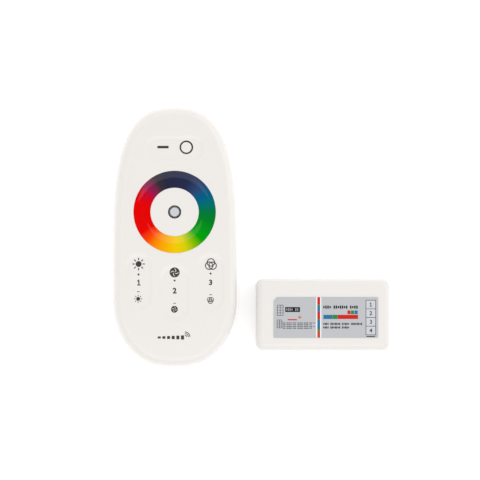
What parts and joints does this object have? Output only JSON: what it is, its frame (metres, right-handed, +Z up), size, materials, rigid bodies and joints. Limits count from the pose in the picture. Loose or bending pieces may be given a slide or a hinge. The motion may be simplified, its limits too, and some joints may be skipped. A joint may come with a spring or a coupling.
{
  "type": "led strip controller",
  "caption": "Touch handset with a colour wheel and its receiver box with pull-out screw terminals, for dimming and colouring LED strip.",
  "frame": {"origin": "middle of the set's footprint on the table", "axes": "+Z up, +Y towards the handset's top end, +X from the handset towards the receiver"},
  "size_m": [0.1198, 0.112, 0.02],
  "materials": {
    "front_plastic": "glossy white moulding",
    "rear_plastic": "fine satin white moulding",
    "wheel_film": "printed colour wheel under a clear coat",
    "lens_plastic": "translucent light guide",
    "cell_wrap": "plain shrink wrap on a steel can",
    "spring_steel": "nickel plated spring steel",
    "board_laminate": "solder masked glass fibre board",
    "copper_pads": "bare copper pads",
    "chip_black": "moulded chip bodies with tinned legs",
    "crystal_can": "plated can",
    "led_body": "white chip body",
    "small_parts": "resistors and capacitors",
    "screw_steel": "zinc plated",
    "case_plastic": "satin white moulding",
    "label_film": "printed silver grey label film",
    "terminal_plastic": "green terminal moulding",
    "tinned_brass": "tin plated brass",
    "clamp_steel": "zinc plated clamp screws and cages",
    "capacitor_can": "sleeved aluminium can on a black foot",
    "radio_board": "blue daughter board with its chip"
  },
  "bodies": {
    "receiver": {"receiver_base": "case_plastic", "receiver_cover": "case_plastic", "receiver_label": "label_film", "receiver_board": "board_laminate", "output_header": "terminal_plastic", "output_header_pins": "tinned_brass", "input_header": "terminal_plastic", "input_header_pins": "tinned_brass", "power_transistors": "chip_black", "smoothing_capacitor": "capacitor_can", "voltage_regulator": "chip_black", "receiver_chip": "chip_black", "radio_module": "radio_board", "radio_crystal": "crystal_can", "receiver_chip_parts": "small_parts", "case_screws": "screw_steel"},
    "handset": {"front_cover": "front_plastic", "wheel_ring": "wheel_film", "indicator_lens": "lens_plastic", "rear_shell": "rear_plastic", "battery_left": "cell_wrap", "battery_right": "cell_wrap", "battery_springs": "spring_steel", "battery_tabs": "spring_steel", "bridge_contact": "spring_steel", "handset_board": "board_laminate", "touch_electrodes": "copper_pads", "touch_chip": "chip_black", "handset_radio_chip": "chip_black", "handset_crystal": "crystal_can", "indicator_led": "led_body", "handset_chip_parts": "small_parts", "shell_screws": "screw_steel"},
    "battery_door": {"battery_door": "rear_plastic"},
    "output_plug": {"output_plug": "terminal_plastic", "output_plug_contacts": "tinned_brass"},
    "output_screw_1": {"output_screw_1": "clamp_steel"},
    "output_cage_1": {"output_cage_1": "clamp_steel"},
    "output_screw_2": {"output_screw_2": "clamp_steel"},
    "output_cage_2": {"output_cage_2": "clamp_steel"},
    "output_screw_3": {"output_screw_3": "clamp_steel"},
    "output_cage_3": {"output_cage_3": "clamp_steel"},
    "output_screw_4": {"output_screw_4": "clamp_steel"},
    "output_cage_4": {"output_cage_4": "clamp_steel"},
    "input_plug": {"input_plug": "terminal_plastic", "input_plug_contacts": "tinned_brass"},
    "input_screw_1": {"input_screw_1": "clamp_steel"},
    "input_cage_1": {"input_cage_1": "clamp_steel"},
    "input_screw_2": {"input_screw_2": "clamp_steel"},
    "input_cage_2": {"input_cage_2": "clamp_steel"}
  },
  "joints": [
    {"name": "handset_lift", "type": "slide", "parent": "receiver", "child": "handset", "axis": [0, 0, 1], "range_m": [0, 0.06]},
    {"name": "battery_door_slide", "type": "slide", "parent": "handset", "child": "battery_door", "axis": [0, -1, 0], "range_m": [0, 0.058]},
    {"name": "output_plug_pull", "type": "slide", "parent": "receiver", "child": "output_plug", "axis": [1, 0, 0], "range_m": [0, 0.025]},
    {"name": "output_screw_turn_1", "type": "hinge", "parent": "output_plug", "child": "output_screw_1", "pos_m": [0.0553, -0.03932, 0.012], "axis": [0, 0, -1], "range_deg": [0, 1601]},
    {"name": "output_cage_climb_1", "type": "slide", "parent": "output_plug", "child": "output_cage_1", "axis": [0, 0, 1], "range_m": [0, 0.002]},
    {"name": "output_screw_turn_2", "type": "hinge", "parent": "output_plug", "child": "output_screw_2", "pos_m": [0.0553, -0.03551, 0.012], "axis": [0, 0, -1], "range_deg": [0, 1601]},
    {"name": "output_cage_climb_2", "type": "slide", "parent": "output_plug", "child": "output_cage_2", "axis": [0, 0, 1], "range_m": [0, 0.002]},
    {"name": "output_screw_turn_3", "type": "hinge", "parent": "output_plug", "child": "output_screw_3", "pos_m": [0.0553, -0.0317, 0.012], "axis": [0, 0, -1], "range_deg": [0, 1601]},
    {"name": "output_cage_climb_3", "type": "slide", "parent": "output_plug", "child": "output_cage_3", "axis": [0, 0, 1], "range_m": [0, 0.002]},
    {"name": "output_screw_turn_4", "type": "hinge", "parent": "output_plug", "child": "output_screw_4", "pos_m": [0.0553, -0.02789, 0.012], "axis": [0, 0, -1], "range_deg": [0, 1601]},
    {"name": "output_cage_climb_4", "type": "slide", "parent": "output_plug", "child": "output_cage_4", "axis": [0, 0, 1], "range_m": [0, 0.002]},
    {"name": "input_plug_pull", "type": "slide", "parent": "receiver", "child": "input_plug", "axis": [0, -1, 0], "range_m": [0, 0.025]},
    {"name": "input_screw_turn_1", "type": "hinge", "parent": "input_plug", "child": "input_screw_1", "pos_m": [0.0132, -0.0445, 0.012], "axis": [0, 0, -1], "range_deg": [0, 1601]},
    {"name": "input_cage_climb_1", "type": "slide", "parent": "input_plug", "child": "input_cage_1", "axis": [0, 0, 1], "range_m": [0, 0.002]},
    {"name": "input_screw_turn_2", "type": "hinge", "parent": "input_plug", "child": "input_screw_2", "pos_m": [0.017, -0.0445, 0.012], "axis": [0, 0, -1], "range_deg": [0, 1601]},
    {"name": "input_cage_climb_2", "type": "slide", "parent": "input_plug", "child": "input_cage_2", "axis": [0, 0, 1], "range_m": [0, 0.002]}
  ],
  "couplings": [
    {"joint": "output_screw_turn_1", "follows": "output_cage_climb_1", "rad_per_m": 13963},
    {"joint": "output_screw_turn_2", "follows": "output_cage_climb_2", "rad_per_m": 13963},
    {"joint": "output_screw_turn_3", "follows": "output_cage_climb_3", "rad_per_m": 13963},
    {"joint": "output_screw_turn_4", "follows": "output_cage_climb_4", "rad_per_m": 13963},
    {"joint": "input_screw_turn_1", "follows": "input_cage_climb_1", "rad_per_m": 13963},
    {"joint": "input_screw_turn_2", "follows": "input_cage_climb_2", "rad_per_m": 13963}
  ]
}
